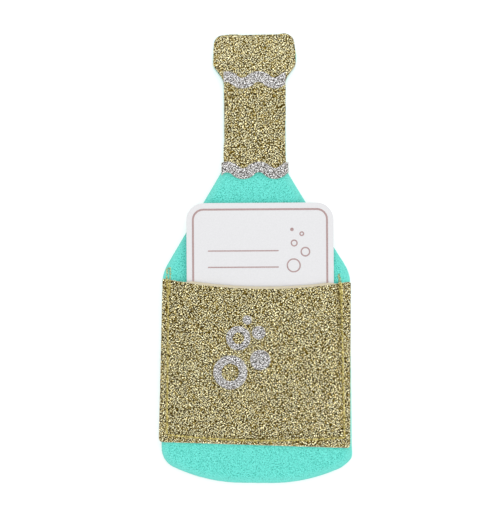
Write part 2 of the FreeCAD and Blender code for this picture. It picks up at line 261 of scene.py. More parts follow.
# Colour of the painted sheen on the felt's cut rim
FELT_RIM_SHEEN = srgb(128, 236, 222)
FELT_FLUFF = srgb(108, 228, 212)
FLUFF_SHARES = [(0.44, (0, 0, 0, 1)), (0.62, (1, 1, 1, 1))]
BACKING_TONES = [(0.0, srgb(212, 201, 172)), (1.0, srgb(232, 224, 200))]
THREAD_TONES = [(0.37, srgb(116, 100, 30)), (0.51, srgb(206, 188, 92)), (0.63, srgb(255, 241, 164))]
CARD_TONES = [(0.3, srgb(233, 233, 235)), (0.7, srgb(239, 239, 241))]
FOIL_TONES = [(0.3, srgb(176, 148, 148)), (0.7, srgb(200, 172, 170))]
FILM_TONES = [(0.3, srgb(214, 212, 200)), (0.7, srgb(232, 231, 224))]
GOLD_TONES = [
    (0.0, srgb(24, 15, 0)),
    (0.42, srgb(84, 65, 0)),
    (0.73, srgb(138, 114, 26)),
    (0.82, srgb(255, 236, 162)),
    (1.0, srgb(255, 249, 206)),
]
SILVER_TONES = [
    (0.0, srgb(58, 54, 50)),
    (0.4, srgb(130, 126, 121)),
    (0.68, srgb(192, 187, 182)),
    (0.8, srgb(246, 243, 242)),
    (1.0, srgb(255, 255, 255)),
]


# Plan outlines

def span(node):
    """Lowest and highest corner of a CAD node, in millimetres."""
    low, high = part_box(node)
    return np.array(low) / MM, np.array(high) / MM


def outlines(node, side=1):
    """Plan outlines of a CAD node, the longest first, round the faces that look up, or down for side -1."""
    mesh = frame["nodes"][node].data
    open_edges = set()
    for face in mesh.polygons:
        if face.normal.z * side < FACING:
            continue
        spots = [mesh.vertices[index].co for index in face.vertices]
        ring = [(round(spot.x / MM, DIGITS), round(spot.y / MM, DIGITS)) for spot in spots]
        for edge in zip(ring, ring[1:] + ring[:1]):
            if edge[::-1] in open_edges:
                open_edges.remove(edge[::-1])
            elif edge[0] != edge[1]:
                open_edges.add(edge)
    following = dict(open_edges)
    loops = []
    while following:
        start, spot = following.popitem()
        loop = [start]
        while spot != start:
            loop.append(spot)
            spot = following.pop(spot)
        loops.append(np.array(loop[::side]))
    return sorted(loops, key=length_round, reverse=True)


def length_round(loop):
    return np.linalg.norm(loop - np.roll(loop, 1, axis=0), axis=1).sum()


def resampled(loop, spacing, softened=0):
    """Points at an even spacing round a closed loop, its sharp corners softened by a number of passes."""
    closed = np.vstack([loop, loop[:1]])
    along = distance_along(closed)
    count = max(FEWEST_POINTS, round(along[-1] / spacing))
    places = np.linspace(0, along[-1], count, endpoint=False)
    spots = np.column_stack([np.interp(places, along, closed[:, axis]) for axis in (0, 1)])
    for number in range(softened):
        spots = spots / 2 + np.roll(spots, 1, axis=0) / 4 + np.roll(spots, -1, axis=0) / 4
    return spots


def distance_along(path):
    return np.concatenate([[0], np.cumsum(np.linalg.norm(np.diff(path, axis=0), axis=1))])


def unit(vectors):
    return vectors / np.linalg.norm(vectors, axis=1)[:, None]


def to_left(ahead):
    return np.column_stack([-ahead[:, 1], ahead[:, 0]])


def inset(loop, distance):
    """The loop moved into the cloth, which is on the left of its direction."""
    ahead = unit(np.roll(loop, -1, axis=0) - np.roll(loop, 1, axis=0))
    distance = np.broadcast_to(distance, len(loop))[:, None]
    return loop + distance * to_left(ahead)


def within(spots, loops):
    """Whether each spot is inside an odd number of the loops."""
    odd = np.zeros(len(spots), bool)
    x, y = spots.T
    for loop in loops:
        for (x1, y1), (x2, y2) in zip(loop, np.roll(loop, -1, axis=0)):
            if y1 == y2:
                continue
            crosses = (y1 > y) != (y2 > y)
            odd ^= crosses & (x < x1 + (y - y1) * (x2 - x1) / (y2 - y1))
    return odd


def nearest(spots, others):
    """Distance from each spot to the nearest of the others."""
    tree = KDTree(len(others))
    for number, (x, y) in enumerate(others):
        tree.insert((x, y, 0), number)
    tree.balance()
    return np.array([tree.find((x, y, 0))[2] for x, y in spots])


def far_from(spots, others, distance):
    return nearest(spots, others) > distance if len(spots) else np.zeros(0, bool)


def filled(loops, spacing, seed, lines=None):
    """Points and triangles inside the loops: the loops' points first, then any lines' points, then
    jittered ones."""
    low = loops[0].min(axis=0)
    high = loops[0].max(axis=0)
    rows = np.arange(low[1], high[1], spacing * ROW_STEP)
    columns = np.arange(low[0] - spacing, high[0] + spacing, spacing)
    grid = np.array([(x + spacing * 0.5 * (number % 2), y) for number, y in enumerate(rows) for x in columns])
    grid += np.random.default_rng(seed).uniform(-JITTER, JITTER, grid.shape) * spacing
    border = np.vstack(loops)
    inner = grid[within(grid, loops)]
    inner = inner[far_from(inner, border, spacing * POINT_ROOM)]
    spots = border
    if lines is not None:
        lines = lines[within(lines, loops)]
        lines = lines[far_from(lines, border, spacing * LINE_ROOM)]
        inner = inner[far_from(inner, lines, spacing * POINT_ROOM)]
        spots = np.vstack([spots, lines])
    spots = np.vstack([spots, inner])
    edges = []
    start = 0
    for loop in loops:
        count = len(loop)
        edges += [(start + number, start + (number + 1) % count) for number in range(count)]
        start += count
    found = delaunay_2d_cdt([Vector(spot) for spot in spots], edges, [], KEEP_INSIDE, MERGE)
    source = [origin[0] for origin in found[3]]
    triangles = np.array([[source[corner] for corner in face] for face in found[2]])
    middles = spots[triangles].mean(axis=1)
    triangles = triangles[within(middles, loops)]
    first, second, third = (spots[triangles[:, corner]] for corner in range(3))
    turn = np.cross(second - first, third - first)
    triangles[turn < 0] = triangles[turn < 0][:, ::-1]
    return spots, triangles


def ripple(spots, wavelength, seed):
    """A smooth random height, mostly between -1 and 1, at each spot."""
    choose = np.random.default_rng(seed)
    angle = choose.uniform(0, 2 * math.pi, RIPPLE_WAVES)
    phase = choose.uniform(0, 2 * math.pi, RIPPLE_WAVES)
    size = wavelength * choose.uniform(*RIPPLE_LENGTHS, RIPPLE_WAVES)
    along = spots[:, :1] * np.cos(angle) + spots[:, 1:] * np.sin(angle)
    return np.sin(2 * math.pi * along / size + phase).sum(axis=1) / RIPPLE_DIVISOR


# Meshes

def piece(name, body, spots, faces, materials, smooth, slots=None):
    """An object in the scene from points in millimetres, riding on a body."""
    mesh = bpy.data.meshes.new(name)
    mesh.from_pydata((np.asarray(spots) * MM).tolist(), [], [list(map(int, face)) for face in faces])
    for material in materials:
        mesh.materials.append(material)
    if slots is not None:
        mesh.polygons.foreach_set("material_index", np.asarray(slots, np.int32))
    mesh.polygons.foreach_set("use_smooth", np.full(len(mesh.polygons), smooth))
    mesh.update()
    made = bpy.data.objects.new(name, mesh)
    bpy.context.scene.collection.objects.link(made)
    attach(made, body)
    return made


def mark(made, name, values):
    """Give each point of a piece a value that its material reads by name."""
    made.data.attributes.new(name, "FLOAT", "POINT").data.foreach_set("value", values)


def layer(loops, front, back, edge, spacing, seed, relief=0.0, lines=None, ragged=0.0, back_spacing=None):
    """Points, faces and face sides of one closed layer of cloth over plan loops. front and back give
    heights over spots, and edge is the rounding of the front's border. A face's side is 0 on the front,
    1 on its rounding and 2 below."""
    choose = np.random.default_rng(seed)
    outer = [inset(loop, choose.uniform(0, ragged, len(loop))) for loop in loops]
    edges = [edge(loop) if callable(edge) else np.full(len(loop), edge) for loop in loops]
    inner = [inset(loop, width) for loop, width in zip(loops, edges)]
    front_plan, front_faces = filled(inner, spacing, seed, lines)
    back_plan, back_faces = filled(inner, back_spacing or spacing, seed, lines)
    high = front(front_plan)
    low = back(back_plan)
    bumps = choose.uniform(-relief, relief, len(front_plan))
    spots = [np.column_stack([front_plan, high + bumps]), np.column_stack([back_plan, low])]
    total = len(front_plan) + len(back_plan)
    faces = front_faces.tolist() + (back_faces[:, ::-1] + len(front_plan)).tolist()
    sides = [0] * len(front_faces) + [2] * len(back_faces)
    start = 0
    for loop, rim, width in zip(inner, outer, edges):
        size = len(loop)
        top = high[start:start + size]
        bottom = low[start:start + size]
        drop = np.minimum(width, (top - bottom) * EDGE_DROP)
        rings = [(loop * share + rim * (1 - share), top - drop * fall) for share, fall in EDGE_STEPS]
        rings.append((rim, bottom + (top - bottom) * EDGE_FOOT))
        chain = [np.arange(start, start + size)]
        for ring, height in rings:
            spots.append(np.column_stack([ring, height]))
            chain.append(np.arange(total, total + size))
            total += size
        chain.append(np.arange(start, start + size) + len(front_plan))
        for number, (upper, lower) in enumerate(zip(chain, chain[1:])):
            quads = np.column_stack([upper, lower, np.roll(lower, -1), np.roll(upper, -1)])
            faces += quads.tolist()
            sides += [1 if number < len(EDGE_STEPS) else 2] * size
        start += size
    return np.vstack(spots), faces, sides


def swept(path, radius, sides, ply, twist):
    """Points and faces of a closed twisted thread along a path: its section has one lobe for each ply."""
    ahead = unit(np.gradient(path, axis=0))
    across = np.zeros_like(path)
    last = np.cross(ahead[0], (0.0, 0.0, 1.0)) if abs(ahead[0][2]) < STEEP else np.array((1.0, 0.0, 0.0))
    for number, direction in enumerate(ahead):
        last = last - direction * np.dot(last, direction)
        last = last / np.linalg.norm(last)
        across[number] = last
    upright = np.cross(ahead, across)
    angle = np.arange(sides) * 2 * math.pi / sides
    turn = distance_along(path)[:, None] * 2 * math.pi / twist
    lobes = PLY_MIDDLE + PLY_LOBE * np.cos(ply * angle[None, :])
    reach = np.broadcast_to(radius, len(path))[:, None] * lobes
    direction = angle[None, :] + turn
    rings = path[:, None, :] + reach[..., None] * (
        np.cos(direction)[..., None] * across[:, None, :] + np.sin(direction)[..., None] * upright[:, None, :]
    )
    count = len(path)
    index = np.arange(count * sides).reshape(count, sides)
    near = index[:-1]
    far = index[1:]
    quads = np.stack([near, np.roll(near, -1, axis=1), np.roll(far, -1, axis=1), far], axis=-1)
    faces = quads.reshape(-1, 4).tolist() + [index[0][::-1].tolist(), index[-1].tolist()]
    return rings.reshape(-1, 3), faces


def nurbs_path(points, resolution):
    """Points along a smooth spline with the given control points."""
    curve = bpy.data.curves.new("route", "CURVE")
    curve.dimensions = "3D"
    curve.resolution_u = resolution
    spline = curve.splines.new("NURBS")
    spline.points.add(len(points) - 1)
    for spot, place in zip(spline.points, points):
        spot.co = (*place, 1.0)
    spline.order_u = 3
    spline.use_endpoint_u = True
    holder = bpy.data.objects.new("route", curve)
    mesh = bpy.data.meshes.new_from_object(holder)
    path = np.array([vertex.co for vertex in mesh.vertices])
    bpy.data.objects.remove(holder)
    bpy.data.curves.remove(curve)
    bpy.data.meshes.remove(mesh)
    return path


# Materials

class Nodes:
    """A material's node tree, with short calls to add and link nodes."""

    def __init__(self, name):
        self.material = bpy.data.materials.new(name)
        self.material.use_nodes = True
        self.tree = self.material.node_tree
        self.shader = self.tree.nodes["Principled BSDF"]

    def add(self, kind, **settings):
        node = self.tree.nodes.new(kind)
        for key, value in settings.items():
            setattr(node, key, value)
        return node

    def link(self, source, target):
        self.tree.links.new(source, target)

    def feed(self, name, source):
        """Link a node's output to one of the shader's sockets."""
        self.link(source, self.shader.inputs[name])

    def set(self, **values):
        """Set the shader's own sockets, named in small letters with underscores."""
        for key, value in values.items():
            self.shader.inputs[key.replace("_", " ").title()].default_value = value

    def specular(self, level):
        self.shader.inputs["Specular IOR Level"].default_value = level

    def math(self, operation, *values):
        node = self.add("ShaderNodeMath", operation=operation)
        for socket, value in zip(node.inputs, values):
            if isinstance(value, (int, float)):
                socket.default_value = value
            else:
                self.link(value, socket)
        return node.outputs[0]

    def marked(self, name):
        """A value that the piece's points were given by name, or 0."""
        return self.add("ShaderNodeAttribute", attribute_name=name).outputs["Fac"]

    def place(self, turn=GRAIN_TURN, stretch=1.0, shift=(0.0, 0.0)):
        """Object coordinates, shifted by millimetres across and up, turned, and stretched along their X."""
        source = self.add("ShaderNodeTexCoord").outputs["Object"]
        mapping = self.add("ShaderNodeMapping", vector_type="TEXTURE")
        mapping.inputs["Location"].default_value = (shift[0] * MM, shift[1] * MM, 0)
        mapping.inputs["Scale"].default_value = (stretch, 1, 1)
        mapping.inputs["Rotation"].default_value = turn
        self.link(source, mapping.inputs["Vector"])
        return mapping.outputs["Vector"]

    def noise(self, size, detail=2.0, roughness=0.5, **placing):
        """A noise of a given grain in millimetres."""
        node = self.add("ShaderNodeTexNoise")
        node.inputs["Scale"].default_value = 1 / (size * MM)
        node.inputs["Detail"].default_value = detail
        node.inputs["Roughness"].default_value = roughness
        self.link(self.place(**placing), node.inputs["Vector"])
        return node.outputs["Fac"]

    def cells(self, size, shift=(0.0, 0.0)):
        """Random colours in cells of a given size, and their red, green and blue apart."""
        node = self.add("ShaderNodeTexVoronoi")
        node.inputs["Scale"].default_value = 1 / (size * MM)
        self.link(self.place(shift=shift), node.inputs["Vector"])
        parts = self.add("ShaderNodeSeparateColor")
        self.link(node.outputs["Color"], parts.inputs["Color"])
        return node.outputs["Color"], parts.outputs

    def ramp(self, factor, stops):
        node = self.add("ShaderNodeValToRGB")
        while len(node.color_ramp.elements) < len(stops):
            node.color_ramp.elements.new(0.5)
        for element, (position, colour) in zip(node.color_ramp.elements, stops):
            element.position = position
            element.color = colour
        self.link(factor, node.inputs["Fac"])
        return node.outputs["Color"]

    def mix(self, factor, first, second, blend="MIX"):
        node = self.add("ShaderNodeMix", data_type="RGBA", blend_type=blend)
        for socket, value in ((node.inputs[0], factor), (node.inputs[6], first), (node.inputs[7], second)):
            if isinstance(value, (int, float, tuple)):
                socket.default_value = value
            else:
                self.link(value, socket)
        return node.outputs[2]

    def bump(self, height, distance, strength):
        """A bump of the shader's normal, its depth in millimetres."""
        node = self.add("ShaderNodeBump")
        node.inputs["Distance"].default_value = distance * MM
        node.inputs["Strength"].default_value = strength
        self.link(height, node.inputs["Height"])
        self.feed("Normal", node.outputs["Normal"])


def glitter(name, stops, tilt, metallic):
    """Flakes of random colour, tilt and gloss, each set off against the flakes round it."""
    nodes = Nodes(name)
    colour, chance = nodes.cells(FLAKE_SIZE)
    middle = 0.5 + 2 * FLAKE_OFFSET - FLAKE_CONTRAST / 2
    tone = nodes.math("MULTIPLY_ADD", chance["Red"], FLAKE_CONTRAST, middle)
    for shift in ((FLAKE_APART, 0), (-FLAKE_APART, 0), (0, FLAKE_APART), (0, -FLAKE_APART)):
        beside_it = nodes.cells(FLAKE_SIZE, shift)[1]
        tone = nodes.math("MULTIPLY_ADD", beside_it["Red"], -FLAKE_OFFSET, tone)
    # Painted sheen: flakes are lighter where the points were marked, over the cap of the neck cloth
    tone = nodes.math("MULTIPLY_ADD", nodes.marked("painted_sheen"), PAINTED_SHEEN_TONE, tone)
    nodes.feed("Base Color", nodes.ramp(tone, stops))
    gloss = nodes.math("MULTIPLY_ADD", chance["Blue"], FLAKE_ROUGHNESS_SPREAD, FLAKE_ROUGHNESS)
    nodes.feed("Roughness", gloss)
    lean = nodes.add("ShaderNodeVectorMath", operation="MULTIPLY_ADD")
    nodes.link(colour, lean.inputs[0])
    lean.inputs[1].default_value = (tilt, tilt, tilt)
    lean.inputs[2].default_value = (-tilt / 2, -tilt / 2, -tilt / 2)
    turned = nodes.add("ShaderNodeVectorMath", operation="ADD")
    nodes.link(nodes.add("ShaderNodeNewGeometry").outputs["Normal"], turned.inputs[0])
    nodes.link(lean.outputs["Vector"], turned.inputs[1])
    normal = nodes.add("ShaderNodeVectorMath", operation="NORMALIZE")
    nodes.link(turned.outputs["Vector"], normal.inputs[0])
    nodes.feed("Normal", normal.outputs["Vector"])
    nodes.set(metallic=metallic)
    nodes.specular(FLAKE_SPECULAR)
    return nodes.material


def felt_material():
    """Specks and soft clouds of colour, painted sheen that lightens the cut rim, and crossing fibres."""
    nodes = Nodes("felt")
    colour = nodes.ramp(nodes.noise(size=0.34, detail=1.0, roughness=0.6), FELT_TONES)
    colour = nodes.mix(1.0, colour, nodes.ramp(nodes.noise(size=2.4), FELT_CLOUDS), "MULTIPLY")
    # Painted sheen: lighter turquoise near the cut rim, read from the points' rim mark
    colour = nodes.mix(nodes.marked("rim"), colour, FELT_RIM_SHEEN)
    fibres = None
    for turn in FIBRE_TURNS:
        strand = nodes.noise(size=0.11, detail=1.0, turn=(0, 0, turn), stretch=11.0)
        fibres = strand if fibres is None else nodes.math("MAXIMUM", fibres, strand)
    colour = nodes.mix(1.0, colour, nodes.ramp(fibres, FELT_SHADES), "MULTIPLY")
    nodes.feed("Base Color", colour)
    nodes.bump(fibres, distance=0.12, strength=0.6)
    nodes.set(roughness=0.95, sheen_weight=0.25, sheen_roughness=0.6)
    nodes.specular(0.15)
    return nodes.material


def backing_material():
    """The cloth that carries the flakes, with a fine plain weave."""
    nodes = Nodes("cloth_backing")
    weave = None
    for turn in (0.0, math.pi / 2):
        wave = nodes.add("ShaderNodeTexWave")
        wave.inputs["Scale"].default_value = 1 / (WEAVE * MM)
        nodes.link(nodes.place(turn=(0, 0, turn)), wave.inputs["Vector"])
        yarn = wave.outputs["Fac"]
        weave = yarn if weave is None else nodes.math("MULTIPLY", weave, yarn)
    nodes.feed("Base Color", nodes.ramp(weave, BACKING_TONES))
    nodes.bump(weave, distance=0.06, strength=0.5)
    nodes.set(roughness=0.9, sheen_weight=0.2)
    return nodes.material


def thread_material():
    """Mottled thread, with felt fluff over it where it lies sunk in the felt."""
    nodes = Nodes("sewing_thread")
    colour = nodes.ramp(nodes.noise(size=0.55, roughness=0.6), THREAD_TONES)
    fluff = nodes.math("MULTIPLY", nodes.marked("sunk"), nodes.ramp(nodes.noise(size=0.4), FLUFF_SHARES))
    nodes.feed("Base Color", nodes.mix(fluff, colour, FELT_FLUFF))
    nodes.bump(nodes.noise(size=0.06), distance=0.02, strength=0.5)
    nodes.set(roughness=0.45, sheen_weight=0.3)
    return nodes.material


def card_material():
    nodes = Nodes("card_stock")
    nodes.feed("Base Color", nodes.ramp(nodes.noise(size=0.5, detail=4.0, roughness=0.6), CARD_TONES))
    nodes.bump(nodes.noise(size=0.12, detail=3.0), distance=0.01, strength=0.3)
    nodes.set(roughness=0.5)
    return nodes.material


def foil_material():
    nodes = Nodes("rose_foil")
    grain = nodes.noise(size=0.4, detail=3.0, roughness=0.6)
    nodes.feed("Base Color", nodes.ramp(grain, FOIL_TONES))
    nodes.feed("Roughness", nodes.math("MULTIPLY_ADD", grain, FOIL_ROUGHNESS_SPREAD, FOIL_ROUGHNESS))
    nodes.set(metallic=0.6)
    return nodes.material


def film_material():
    nodes = Nodes("bonding_film")
    cloud = nodes.noise(size=0.8, detail=3.0, roughness=0.6)
    nodes.feed("Base Color", nodes.ramp(cloud, FILM_TONES))
    nodes.bump(cloud, distance=0.02, strength=0.4)
    nodes.set(roughness=0.55)
    return nodes.material


felt_cloth = felt_material()
backing = backing_material()
thread = thread_material()
card_stock = card_material()
rose_foil = foil_material()
film = film_material()
gold = glitter("gold_glitter", GOLD_TONES, tilt=0.7, metallic=0.75)
silver = glitter("silver_glitter", SILVER_TONES, tilt=0.6, metallic=0.6)

# Heights of the layers

felt_front = span("bottle_panel")[1][2]
neck_back = span("neck_panel")[0][2]
neck_front = span("neck_panel")[1][2]
neck_edge = span("neck_panel")[0][1]
band_front = span("upper_wave_band")[1][2]
band_thickness = band_front - neck_front
card_low, card_high = span("insert_card")
slide = frame["joints"][0]["axis"]
card_lean = slide[2] / slide[1]


def needle_holes():
    """Needle holes in sewing order: up and down the left tack, round the pocket, up and down the right."""
    left_top, left_bottom, right_bottom, right_top = (np.array(corner) for corner in SEAM_CORNERS)
    up_left = (left_top - left_bottom) / np.linalg.norm(left_top - left_bottom)
    up_right = (right_top - right_bottom) / np.linalg.norm(right_top - right_bottom)
    left = spaced(left_top + up_left * TACK_REACH_LEFT, left_bottom, 0)
    bottom = spaced(left_bottom, right_bottom, SEAM_BOW)
    right = spaced(right_top + up_right * TACK_REACH_RIGHT, right_bottom, 0)
    left_out, left_in = tack_runs(left, LEFT_TACK)
    right_out, right_in = tack_runs(right, RIGHT_TACK)
    return np.vstack([
        left_out[::-1], left_in, left[TACK_HOLES:], bottom[1:],
        right[TACK_HOLES:-1][::-1], right_in[::-1], right_out,
    ])


def tack_runs(line, tack):
    """The two runs of stitches at the top of a side seam, from the tack's shifts and half spreads."""
    shift, spread = np.array(tack).T
    middle = line[:TACK_HOLES] + np.outer(shift, (1, 0))
    aside = np.outer(spread, (1, 0))
    return middle + aside, middle - aside


def spaced(start, end, bow):
    """Holes a stitch apart from start to end, bowed downwards in the middle."""
    count = round(np.linalg.norm(end - start) / STITCH_PITCH)
    share = np.linspace(0, 1, count + 1)[:, None]
    return start + (end - start) * share - np.array((0, 4 * bow)) * share * (1 - share)


holes = needle_holes()


def seam_distance(spots):
    """Distance of each spot from the stitch line, and the share of a stitch along it."""
    best = np.full(len(spots), np.inf)
    phase = np.zeros(len(spots))
    for start, end in zip(holes, holes[1:]):
        run = end - start
        share = np.clip((spots - start) @ run / (run @ run), 0, 1)
        away = np.linalg.norm(spots - start - share[:, None] * run, axis=1)
        nearer = away < best
        best[nearer] = away[nearer]
        phase[nearer] = share[nearer]
    return best, phase


def seam_side(spots, top, bottom):
    """X of a side seam at each spot's height."""
    share = (spots[:, 1] - bottom[1]) / (top[1] - bottom[1])
    return bottom[0] + share * (top[0] - bottom[0])


def smooth_step(share):
    return share * share * (3 - 2 * share)


def eased(share):
    """A rise from 0 to 1, partly straight and partly rounded at both ends."""
    share = np.clip(share, 0, 1)
    return SLOPE_STRAIGHT * share + (1 - SLOPE_STRAIGHT) * smooth_step(share)


def card_face(spots):
    """Height of the card's front at each spot, also beyond its edges."""
    return card_low[2] + CARD_THICKNESS + (spots[:, 1] - card_low[1]) * card_lean


def pocket_inside(spots):
    """Height of the pocket cloth's back: on the felt at the seams and clear of the card in the middle."""
    left_top, left_bottom, right_bottom, right_top = SEAM_CORNERS
    x, y = spots.T
    left = seam_side(spots, left_top, left_bottom) + SLOPE_START
    right = seam_side(spots, right_top, right_bottom) - SLOPE_START
    across = (x - left_bottom[0]) / (right_bottom[0] - left_bottom[0])
    low = left_bottom[1] + across * (right_bottom[1] - left_bottom[1]) + SLOPE_START
    low -= 4 * SEAM_BOW * across * (1 - across)
    rise = eased((x - left) / (card_low[0] - SLOPE_CLEARANCE - left))
    rise *= eased((right - x) / (right - card_high[0] - SLOPE_CLEARANCE))
    rise *= eased((y - low) / (card_low[1] - SLOPE_CLEARANCE - low))
    puff = POCKET_PUFF * (0.5 + 0.5 * ripple(spots, PUFF_WAVELENGTH, seed=5)).clip(0, PUFF_MOST)
    return felt_front + rise * (card_face(spots) + CARD_CLEARANCE + puff - felt_front)


def pocket_front(spots):
    """Height of the pocket cloth's front, pulled in along the seam and most at the holes."""
    away, phase = seam_distance(spots)
    pull = SEAM_GROOVE * (GROOVE_EVEN + (1 - GROOVE_EVEN) * np.cos(2 * math.pi * phase))
    sunk = pull * np.exp(-(away / GROOVE_WIDTH) ** 2)
    return pocket_inside(spots) + POCKET_THICKNESS - sunk


def felt_back(spots):
    """Height of the felt's back: flat, with a furrow that the bobbin thread lies in."""
    away = seam_distance(spots)[0]
    return FURROW * np.exp(-(away / FURROW_WIDTH) ** 4)


def felt_face(spots):
    """Height of the felt's front: a little wavy, and pressed in along the seam."""
    away = seam_distance(spots)[0]
    press = FELT_PRESS * np.exp(-(away / FELT_PRESS_WIDTH) ** 2)
    return felt_front + FELT_WAVE * ripple(spots, FELT_WAVELENGTH, seed=3) - FELT_WAVE - press


def level(height):
    return lambda spots: np.full(len(spots), float(height))


def raised(surface, height):
    return lambda spots: surface(spots) + height


def waved(height, wavelength, size, seed):
    return lambda spots: height + size * ripple(spots, wavelength, seed)


def draped(start):
    """Heights of a layer that lies on the neck cloth and steps down to the felt below its edge."""
    def height(spots):
        share = np.clip((spots[:, 1] - neck_edge + BAND_STEP_BELOW) / BAND_STEP_LENGTH, 0, 1)
        return felt_front + start + (neck_front - felt_front) * smooth_step(share)
    return height


def beside(path, offsets):
    """Points along a line of holes, at several distances to its side."""
    aside = to_left(unit(np.gradient(path, axis=0)))
    return np.vstack([path + aside * offset for offset in offsets])


def mouth_share(loop):
    """How far each point of the pocket's outline belongs to its mouth over the card: 1 to 0 at its ends."""
    top = span("pocket_panel")[1][1]
    from_end = np.minimum(loop[:, 0] - card_low[0], card_high[0] - loop[:, 0])
    return np.where(loop[:, 1] > top - MOUTH_DEPTH, (MOUTH_END + from_end / MOUTH_FADE).clip(0, 1), 0)


def raw_mouth(loop):
    """Width of the bare cloth round the pocket: most along its mouth."""
    return CLOTH_EDGE + (RAW_EDGE - CLOTH_EDGE) * mouth_share(loop)


def pocket_cut(loop):
    """The pocket's outline as the cloth lies: corners a little off the solid's, and a lip along the mouth."""
    low, high = span("pocket_panel")
    across, up = ((loop - low[:2]) / (high[:2] - low[:2])).T[..., None]
    bottom_left, bottom_right, top_left, top_right = np.array(POCKET_EASE)
    bottom = bottom_left * (1 - across) + bottom_right * across
    top = top_left * (1 - across) + top_right * across
    return inset(loop + bottom * (1 - up) + top * up, -RAW_OVERHANG * mouth_share(loop))


def right_eased(loop):
    """An outline with its right side moved a little in or out, by height."""
    heights, shifts = np.array(RIGHT_EASE).T
    weight = ((loop[:, 0] - RIGHT_FROM) / RIGHT_FADE).clip(0, 1)
    return loop + np.outer(np.interp(loop[:, 1], heights, shifts) * weight, (1, 0))


def felt_cut(loop):
    """The felt's outline, eased along its right side and drawn out at the right corner of its base."""
    away = np.linalg.norm(loop - np.array(FELT_CORNER), axis=1)
    share = (1 - away / FELT_CORNER_REACH).clip(0, 1) ** FELT_CORNER_FALL
    return inset(right_eased(loop), -FELT_CORNER_PUSH * share)


def neck_cut(loop):
    """The neck cloth's outline, eased along its right side and cut by hand, so it wanders a little."""
    wander = ripple(loop, NECK_CUT_WAVELENGTH, seed=22).clip(*NECK_CUT_RANGE)
    return inset(right_eased(loop), -NECK_CUT * wander)


def glitter_piece(name, node, front, back, material, seed, lines=None, edge=CLOTH_EDGE, rim=None, cut=None):
    """A layer of glitter cloth that replaces a CAD node, with its rim in the same material or another."""
    loops = [resampled(loop, FLAKE_SPACING, CLOTH_SOFTENED) for loop in outlines(node)]
    if cut:
        loops = [cut(loop) for loop in loops]
    spots, faces, sides = layer(
        loops, front, back, edge, FLAKE_SPACING, seed, FLAKE_RELIEF, lines, CLOTH_RAGGED, BACK_SPACING
    )
    made = piece(name, "holder", spots, faces, [material, rim or material, backing], False, sides)
    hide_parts(node)
    return made


# Holder

stitch_line = holes[TACK_HOLES:-TACK_HOLES]
stitches = zip(stitch_line, stitch_line[1:])
dense_line = np.array([start + (end - start) * share for start, end in stitches for share in QUARTERS])

felt_loop = felt_cut(resampled(outlines("bottle_panel", -1)[0], FELT_SPACING * FELT_BORDER_SHARE))
spots, faces = layer(
    [felt_loop], felt_face, felt_back, FELT_EDGE, FELT_SPACING, seed=11, relief=FELT_RELIEF,
    lines=beside(dense_line, FELT_LINES), ragged=FELT_RAGGED,
)[:2]
felt = piece("felt_bottle", "holder", spots, faces, [felt_cloth], True)
# Mark the painted sheen near the felt's cut rim
rim_distance = nearest(spots[:, :2], felt_loop)
mark(felt, "rim", SHEEN_RIM_MOST * (1 - rim_distance / SHEEN_RIM_WIDTH).clip(0, 1) ** SHEEN_RIM_FALL)
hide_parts("bottle_panel")

neck = glitter_piece(
    "neck_cloth", "neck_panel", waved(neck_front, NECK_WAVELENGTH, NECK_WAVE, seed=21), level(neck_back),
    gold, seed=22, cut=neck_cut,
)
# Mark the painted sheen that lightens the neck cloth over the cap
heights = np.array([vertex.co.y for vertex in neck.data.vertices]) / MM
mark(neck, "painted_sheen", ((heights - PAINTED_SHEEN_FROM) / PAINTED_SHEEN_FADE).clip(0, 1))
pocket = glitter_piece(
    "pocket_cloth", "pocket_panel", pocket_front, raised(pocket_inside, POCKET_LIFT), gold, seed=31,
    lines=beside(dense_line, POCKET_LINES), edge=raw_mouth, rim=backing, cut=pocket_cut,
)
upper_band = glitter_piece(
    "upper_band", "upper_wave_band", level(band_front), level(neck_front + FILM), silver, seed=41
)
lower_band = glitter_piece(
    "lower_band", "lower_wave_band", draped(band_thickness), draped(FILM), silver, seed=42
)
film_spots = []
film_faces = []
bubble_front = raised(pocket_front, band_thickness)
film_front = raised(pocket_front, FILM)
film_back = raised(pocket_front, -FILM)
for number in range(1, BUBBLE_COUNT + 1):
    node = f"bubble_{number}"
    glitter_piece(
        f"bubble_patch_{number}", node, bubble_front, film_front, silver, seed=50 + number
    )
    loops = [resampled(loop, FILM_BORDER_SPACING) for loop in outlines(node)]
    spots, faces = layer(loops, film_front, film_back, FILM_EDGE, FILM_SPACING, seed=60 + number)[:2]
    start = sum(len(part) for part in film_spots)
    film_spots.append(spots)
    film_faces += [[corner + start for corner in face] for face in faces]
bubble_film = piece("bubble_film", "holder", np.vstack(film_spots), film_faces, [film], True)
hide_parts("bubble_adhesive")
for node in ("neck_adhesive", "upper_band_adhesive", "lower_band_adhesive"):
    frame["nodes"][node].data.materials.clear()
    frame["nodes"][node].data.materials.append(film)

# Threads

pocket_loop = outlines("pocket_panel")


def thread_surface(spots):
    """Height of the needle thread's middle: proud of the pocket cloth, and sunk into the felt."""
    on_pocket = pocket_front(spots) + THREAD_RADIUS * THREAD_LIFT
    on_felt = felt_face(spots) - THREAD_RADIUS * TACK_SINK
    return np.where(within(spots, pocket_loop), on_pocket, on_felt)


